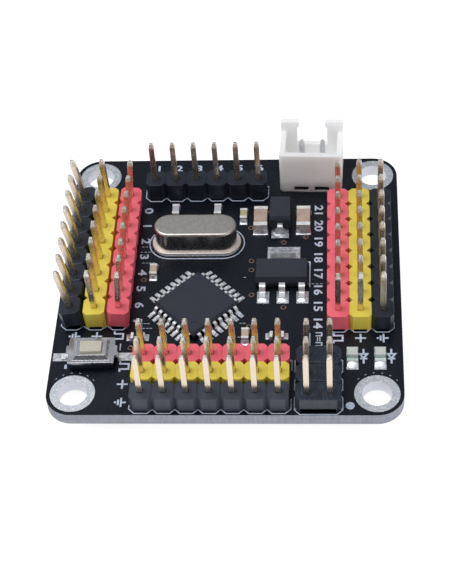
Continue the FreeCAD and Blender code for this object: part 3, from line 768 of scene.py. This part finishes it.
def row_signs():
    """What each row of posts carries, at the end of the row, and a lamp sign beside each lamp."""
    for place, kind in enumerate(("signal", "power", "ground")):
        from_middle = (place + 0.5) * PITCH
        ink_sign(kind, right_low.x + from_middle, right_low.y - 1.05 * MM)
        ink_sign(kind, left_high.x - from_middle, left_low.y - 1.15 * MM)
        ink_sign(kind, front_low.x - 1.1 * MM, front_high.y - from_middle)
    for points in islands("indicator_lamp_bases"):
        lamp = middle_of(points)
        ink_sign("lamp", lamp.x + 1.25 * MM, lamp.y, 0.95 * MM)


def crystal_oval():
    """Line round the crystal's base: two half circles joined by straight stretches."""
    base_low, base_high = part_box("crystal_base")
    middle = (base_low + base_high) / 2
    middle.y += 0.15 * MM
    radius = (base_high.y - base_low.y) / 2 + 0.40 * MM
    half_straight = (base_high.x - base_low.x) / 2 + 0.38 * MM - radius
    steps = 12
    oval = []
    for half, sign in ((0, 1), (1, -1)):
        for step in range(steps + 1):
            angle = -math.pi / 2 + math.pi * (half + step / steps)
            oval.append((middle.x + sign * half_straight + radius * math.cos(angle),
                         middle.y + radius * math.sin(angle)))
    ink_stroke(oval, LINE_WIDTH, closed=True)


def regulator_corner():
    """Line along the regulator's right side, turned in at its back."""
    body_low, body_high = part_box("regulator_body")
    rail = body_high.x + 0.2 * MM
    back = body_high.y + 0.6 * MM
    front = body_low.y + 0.15 * MM
    ink_stroke([(rail - 0.45 * MM, back), (rail, back), (rail, front)], 0.15 * MM)


# Thin broken lines across open parts of the board: left end, right end and y, in millimetres.
LEADERS = ((-10.9, -9.15, 5.15), (-11.0, -9.1, 4.3), (-10.7, -9.0, 2.54), (-10.15, -8.95, -6.88),
           (-10.7, -8.6, -7.59), (1.55, 2.15, 0.18), (1.35, 2.2, -6.88), (1.2, 1.6, -8.94),
           (9.1, 11.1, -0.87))


def leader_lines():
    """Each leader is a row of dashes at about an even spacing."""
    spacing = 0.45
    dash_length = 0.3
    for left, right, y in LEADERS:
        dashes = max(1, round((right - left) / spacing))
        for dash in range(dashes):
            x = left + dash * (right - left) / dashes
            ink_stroke([(x * MM, y * MM), ((x + dash_length) * MM, y * MM)], 0.07 * MM)


def switch_marks():
    """A bar at the reset switch's right and a tapered patch at its front left corner."""
    switch_low, switch_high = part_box("reset_switch_base")
    bar = switch_high.x + 0.5 * MM
    ink_stroke([(bar, switch_high.y - 0.75 * MM), (bar, switch_high.y + 0.25 * MM)], LINE_WIDTH)
    foot_x, foot_y = switch_low.x - 0.45 * MM, switch_low.y + 0.32 * MM
    corners = ((-0.16, -0.3), (0.16, -0.3), (0.1, 0.3), (-0.16, 0.3))
    ink_patch([(foot_x + x * MM, foot_y + y * MM) for x, y in corners])


def bracket_sign():
    """Two brackets that face each other, two short bars between them and a long bar at their left."""
    x, y = right_low.x - 0.95 * MM, right_low.y - 1.2 * MM
    near, far = x - 0.35 * MM, x + 0.35 * MM
    for end in (-1, 1):
        outer, inner = y + end * 0.95 * MM, y + end * 0.5 * MM
        ink_stroke([(near, outer), (far, outer), (far, inner), (near, inner)], LINE_WIDTH)
    for side in (-0.14 * MM, 0.14 * MM):
        ink_stroke([(x + side, y - 0.3 * MM), (x + side, y + 0.3 * MM)], 0.1 * MM)
    bar = x - 1.0 * MM
    ink_stroke([(bar, y - 1.2 * MM), (bar, y + 0.9 * MM)], 0.09 * MM)


def ring_dashes():
    """Thin dashes round the back of the two front mounting rings."""
    dashes = 6
    first_angle, spacing, point_angle = 38, 19, 2.2
    radius = 2.9 * MM
    for points in islands("mounting_hole_rings"):
        ring = middle_of(points)
        if ring.y > 0:
            continue
        for dash in range(dashes):
            start = first_angle + spacing * dash
            arc = [math.radians(start + point_angle * k) for k in range(3)]
            ink_stroke([(ring.x + radius * math.cos(a), ring.y + radius * math.sin(a)) for a in arc],
                       0.06 * MM)


outlines()
pin_numbers()
row_signs()
crystal_oval()
regulator_corner()
leader_lines()
switch_marks()
bracket_sign()
ring_dashes()
piece("printed_marks", marks, None, print_ink())


# ------------------------------------------------------------------ solder at the terminals
# Points of a terminal no higher than this above its land are its foot.
FOOT_HEIGHT = 0.03 * MM


def flat_pads():
    """Each four-cornered land on the upper face: its middle, its two directions and its half sizes."""
    tolerance = 1e-6
    found = []
    for points in islands("surface_pads"):
        if middle_of(points).z < board_low.z:
            continue
        corners = [p for p in points if p.z > pad_top - tolerance]
        middle = middle_of(corners)
        ordered = sorted(corners, key=lambda p: math.atan2(p.y - middle.y, p.x - middle.x))
        if len(ordered) != 4:
            continue
        first_edge = ordered[1] - ordered[0]
        second_edge = ordered[2] - ordered[1]
        directions = (first_edge.normalized(), second_edge.normalized())
        halves = (first_edge.length / 2, second_edge.length / 2)
        found.append((middle, directions, halves))
    return found


def add_fillet(mesh, pad, points, share):
    """Solder over one land, hollow in profile, that climbs a share of the terminal standing on it."""
    middle, (first, second), (half_first, half_second) = pad
    edge_reach = 0.02 * MM
    low = [p - middle for p in points if p.z < pad_top + FOOT_HEIGHT]
    spans = []
    for axis in (first, second):
        along = [p.dot(axis) for p in low]
        spans.append((min(along), max(along)))
    ends = []
    for axis, span in zip((first, second), spans):
        for edge in span:
            near = [p.z for p in points if abs((p - middle).dot(axis) - edge) < edge_reach]
            ends.append(max(near) - pad_top)
    climb = share * min(ends)
    thin = 0.02 * MM
    rim_inset = 0.015 * MM
    least_room = 0.03 * MM
    sink = 0.01 * MM
    hollowness = 2.2
    side_drop = 0.6
    count = 14
    grid = []
    for i in range(count + 1):
        row = []
        for j in range(count + 1):
            place = []
            for k, half in ((i, half_first), (j, half_second)):
                turn = -math.cos(math.pi * k / count)
                place.append(turn * (half - rim_inset))
            beyonds = []
            for value, span, half in zip(place, spans, (half_first, half_second)):
                beyond = max(span[0] - value, value - span[1], 0.0)
                room = half + (span[0] if value < span[0] else -span[1])
                beyonds.append((beyond / max(room, least_room)) ** 2)
            away = min(1.0, math.sqrt(sum(beyonds)))
            height = (climb - thin) * (1 - away) ** hollowness
            crosswise = place[1] / half_second if beyonds[0] > beyonds[1] else place[0] / half_first
            height *= 1 - side_drop * min(1.0, crosswise ** 2)
            spot = middle + first * place[0] + second * place[1]
            row.append((mesh.verts.new((spot.x, spot.y, pad_top + thin + height)),
                        mesh.verts.new((spot.x, spot.y, pad_top - sink))))
        grid.append(row)
    for i in range(count):
        for j in range(count):
            square = (grid[i][j], grid[i + 1][j], grid[i + 1][j + 1], grid[i][j + 1])
            mesh.faces.new([pair[0] for pair in square]).smooth = True
            mesh.faces.new([pair[1] for pair in reversed(square)])
    rim = [grid[i][0] for i in range(count)] + [grid[count][j] for j in range(count)]
    rim += [grid[count - i][count] for i in range(count)] + [grid[0][count - j] for j in range(count)]
    for k, pair in enumerate(rim):
        after = rim[(k + 1) % len(rim)]
        mesh.faces.new((pair[0], pair[1], after[1], after[0]))


def solder_fillets():
    """A fillet on each land; the numbers are the share of the terminal's height that solder climbs."""
    pads = flat_pads()
    climbs = {
        "supply_capacitor_ends": 0.6,
        "signal_capacitor_ends": 0.6,
        "resistor_ends": 0.7,
        "indicator_lamp_ends": 0.7,
        "regulator_leads": 0.8,
        "regulator_heat_tab": 0.8,
        "diode_terminals": 0.8,
        "microcontroller_leads": 0.8,
        "reset_switch_terminals": 0.8,
    }
    mesh = bmesh.new()
    for name, share in climbs.items():
        for points in islands(name):
            low = [p for p in points if p.z < pad_top + FOOT_HEIGHT]
            if not low:
                continue
            foot = middle_of(low)
            nearest = min(pads, key=lambda pad: (pad[0].xy - foot.xy).length)
            add_fillet(mesh, nearest, points, share)
    solder = tinned("solder", (176, 179, 187), (236, 239, 244), 0.4, (0.28, 0.42), 0.006, 0.78)
    piece("solder_fillets", mesh, "tinned_copper", solder)


solder_fillets()


# ------------------------------------------------------------------ plated through holes
HOLE_RING_RADIUS = 0.34 * MM
HOLE_RING_HEIGHT = 0.02 * MM
bare_copper = tinned("bare_copper", (104, 80, 70), (150, 122, 106), 0.3, (0.4, 0.6))

# Small plated holes in open parts of the board: x and y in millimetres.
VIAS = ((2.42, 2.79), (2.46, 1.36), (2.6, -2.56), (6.23, 5.75), (8.86, 6.63), (6.38, -4.49),
        (5.09, -8.39), (2.47, -7.41), (-10.99, -10.48), (-10.25, -0.14), (2.17, 8.18))


def add_ring(mesh, x, y, hole_radius, underside):
    """Flat ring of copper round a small hole, on one face of the board."""
    count = 24
    low = board_low.z - HOLE_RING_HEIGHT if underside else board_top
    high = low + HOLE_RING_HEIGHT
    section = ((HOLE_RING_RADIUS, low), (HOLE_RING_RADIUS, high), (hole_radius, high), (hole_radius, low))
    rings = []
    for radius, z in section:
        rings.append([mesh.verts.new((*p, z)) for p in circle(x, y, radius, count)])
    for k in range(4):
        first, second = rings[k], rings[(k + 1) % 4]
        for i in range(count):
            j = (i + 1) % count
            mesh.faces.new((first[i], first[j], second[j], second[i]))


def via_rings():
    """A ring on both faces of the board round each small plated hole."""
    mesh = bmesh.new()
    for x, y in VIAS:
        for underside in (False, True):
            add_ring(mesh, x * MM, y * MM, 0.21 * MM, underside)
    piece("via_rings", mesh, None, bare_copper)


via_rings()


# ------------------------------------------------------------------ copper tracks under the lacquer
TRACK_HEIGHT = 0.012 * MM


def add_track(mesh, points, width, underside):
    """A track in relief, on the underside or the upper face."""
    low = board_low.z - TRACK_HEIGHT if underside else board_top
    add_stroke(mesh, points, width, low, low + TRACK_HEIGHT)


def add_fan(mesh, posts, heading, middle, stop, ends):
    """Tracks from a row of posts that close up at 45 degrees to half pitch and end in small plated holes.

    heading is their direction; middle is where the fan's middle lies across it, and stop where the
    tracks end along it; every other track runs on a little further. ends takes the tracks' last points.
    """
    straight = 1.5 * MM
    stagger = 0.9 * MM
    across = Vector((-heading.y, heading.x))
    for place, post in enumerate(posts):
        shift = middle + (place - (len(posts) - 1) / 2) * PITCH / 2 - post.dot(across)
        bend = post + heading * straight
        joined = bend + heading * abs(shift) + across * shift
        end = joined + heading * (stop + (place % 2) * stagger - joined.dot(heading))
        add_track(mesh, [post, bend, joined, end], 0.3 * MM, True)
        ends.append(end)


def post_row(name):
    """Middles of the posts of one strip where they pass the underside."""
    near_end = 0.1 * MM
    feet = []
    for points in islands(name):
        low = min(p.z for p in points)
        high = max(p.z for p in points)
        share = (board_low.z - low) / (high - low)
        bottom = middle_of([p for p in points if p.z < low + near_end])
        top = middle_of([p for p in points if p.z > high - near_end])
        feet.append((bottom + (top - bottom) * share).xy)
    return feet


def lower_tracks():
    """Tracks on the underside: a fan from each signal row, and broad copper along ground and power rows."""
    mesh = bmesh.new()
    ends = []
    # Each row's heading, and the middle and stop of its fan in millimetres.
    fans = (
        ("left_signal_header_posts", Vector((1, 0)), 1.6, -5.0),
        ("right_signal_header_posts", Vector((-1, 0)), -0.6, -4.2),
        ("front_signal_header_posts", Vector((0, 1)), 2.2, -6.6),
        ("serial_header_posts", Vector((0, -1)), -3.4, -9.2),
    )
    for name, heading, middle, stop in fans:
        across = Vector((-heading.y, heading.x))
        posts = sorted(post_row(name), key=lambda p: p.dot(across))
        add_fan(mesh, posts, heading, middle * MM, stop * MM, ends)
    for side in ("left", "right", "front"):
        for role in ("ground", "power"):
            posts = post_row(side + "_" + role + "_header_posts")
            first = min(posts, key=lambda p: p.x + p.y)
            last = max(posts, key=lambda p: p.x + p.y)
            overrun = (last - first).normalized() * 1.1 * MM
            add_track(mesh, [first - overrun, last + overrun], 2.1 * MM, True)
    piece("lower_tracks", mesh, None, covered_copper())
    rings = bmesh.new()
    for end in ends:
        add_ring(rings, end.x, end.y, 0.17 * MM, True)
    piece("track_holes", rings, None, bare_copper)


def upper_tracks():
    """Short tracks on the upper face, from the signal rows at the sides inward."""
    mesh = bmesh.new()
    for side, inward in (("left", 1), ("right", -1)):
        for post in post_row(side + "_signal_header_posts"):
            bend = post + Vector((inward * 2.0 * MM, 0))
            turn = bend + Vector((inward * 0.9 * MM, -0.9 * MM))
            end = turn + Vector((inward * 0.8 * MM, 0))
            add_track(mesh, [post, bend, turn, end], 0.25 * MM, False)
    piece("upper_tracks", mesh, "solder_mask")


lower_tracks()
upper_tracks()


# ------------------------------------------------------------------ studio and camera
CAMERA_AIM = Vector((-0.41, -2.08, 1.6)) * MM
CAMERA_DISTANCE = 186.4 * MM
# Degrees: how far round to the right of the front, how far above the floor, and the picture's tilt.
CAMERA_TURN = 6.38
CAMERA_RISE = 48.92
CAMERA_TILT = -5.08


def direction(turn, rise):
    """Direction of something that stands turn degrees right of the front and rise degrees up."""
    turn, rise = math.radians(turn), math.radians(rise)
    return Vector((math.sin(turn) * math.cos(rise), -math.cos(turn) * math.cos(rise), math.sin(rise)))


def floor():
    """Pale paper that glows a little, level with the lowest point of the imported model."""
    half, thickness = 2.0, 0.001
    floor_z = cad_bounds[0].z
    mesh = bmesh.new()
    corners = [(-half, -half), (half, -half), (half, half), (-half, half)]
    add_slab(mesh, corners, floor_z - thickness, floor_z)
    data = bpy.data.meshes.new("floor")
    mesh.to_mesh(data)
    mesh.free()
    g = Graph("floor_paper")
    fibre = g.noise(3 * MM, 3)
    data.materials.append(g.surface(
        Base_Color=g.mix(fibre, (0.25, 0.25, 0.25, 1), (0.27, 0.27, 0.27, 1)),
        Roughness=0.9,
        Emission_Color=WHITE,
        Emission_Strength=0.9,
    ))
    paper = bpy.data.objects.new("floor", data)
    bpy.context.scene.collection.objects.link(paper)


def softbox(name, place, size, power):
    """Soft lamp of a size in metres, aimed at the board."""
    lamp = bpy.data.lights.new(name, "AREA")
    lamp.shape = "RECTANGLE"
    lamp.size = size[0]
    lamp.size_y = size[1]
    lamp.energy = power
    box = bpy.data.objects.new(name, lamp)
    box.location = place
    box.rotation_euler = (-Vector(place)).to_track_quat("-Z", "Y").to_euler()
    bpy.context.scene.collection.objects.link(box)


def room():
    """Grey room, darker where flat faces mirror the camera's view and darkest behind the camera."""
    world = bpy.data.worlds.new("studio")
    world.use_nodes = True
    tree = world.node_tree
    background = tree.nodes["Background"]
    place = tree.nodes.new("ShaderNodeTexCoord").outputs["Generated"]

    def closeness(target):
        """1 toward a direction, 0 square to it."""
        dot = tree.nodes.new("ShaderNodeVectorMath")
        dot.operation = "DOT_PRODUCT"
        dot.inputs[1].default_value = target
        tree.links.new(place, dot.inputs[0])
        return dot.outputs["Value"]

    mirrored = direction(CAMERA_TURN, CAMERA_RISE)
    mirrored.xy = -mirrored.xy
    ramp = tree.nodes.new("ShaderNodeValToRGB")
    ramp.color_ramp.elements[0].position = 0.55
    ramp.color_ramp.elements[0].color = (0.44, 0.45, 0.47, 1)
    ramp.color_ramp.elements[1].position = 0.95
    ramp.color_ramp.elements[1].color = (0.30, 0.31, 0.34, 1)
    tree.links.new(closeness(mirrored), ramp.inputs["Fac"])
    tree.links.new(ramp.outputs["Color"], background.inputs["Color"])

    shade = tree.nodes.new("ShaderNodeMapRange")
    for key, value in (("From Min", 0.82), ("From Max", 0.95), ("To Min", 1.0), ("To Max", 0.15)):
        shade.inputs[key].default_value = value
    tree.links.new(closeness(direction(CAMERA_TURN, CAMERA_RISE - 10)), shade.inputs["Value"])
    tree.links.new(shade.outputs["Result"], background.inputs["Strength"])
    bpy.context.scene.world = world


def studio():
    """Floor, three soft lamps and the room."""
    floor()
    softbox("key", (-0.14, 0.02, 0.36), (0.24, 0.24), 0.85)
    softbox("overhead", (0.05, -0.06, 0.40), (0.30, 0.26), 0.32)
    softbox("front", (0.32, -0.32, 0.12), (0.34, 0.16), 0.5)
    room()
    bpy.context.scene.view_settings.view_transform = "Standard"


def camera():
    """Looks down on the board from in front, a little from the right, with the picture tilted."""
    away = direction(CAMERA_TURN, CAMERA_RISE)
    lens = bpy.data.cameras.new("camera")
    lens.sensor_width = 36
    lens.lens = 97.96
    lens.clip_start = 0.01
    lens.clip_end = 10
    seen = bpy.data.objects.new("camera", lens)
    seen.location = CAMERA_AIM + away * CAMERA_DISTANCE
    tilt = Matrix.Rotation(math.radians(CAMERA_TILT), 3, "Z").to_quaternion()
    seen.rotation_euler = ((-away).to_track_quat("-Z", "Y") @ tilt).to_euler()
    bpy.context.scene.collection.objects.link(seen)
    bpy.context.scene.camera = seen


studio()
camera()
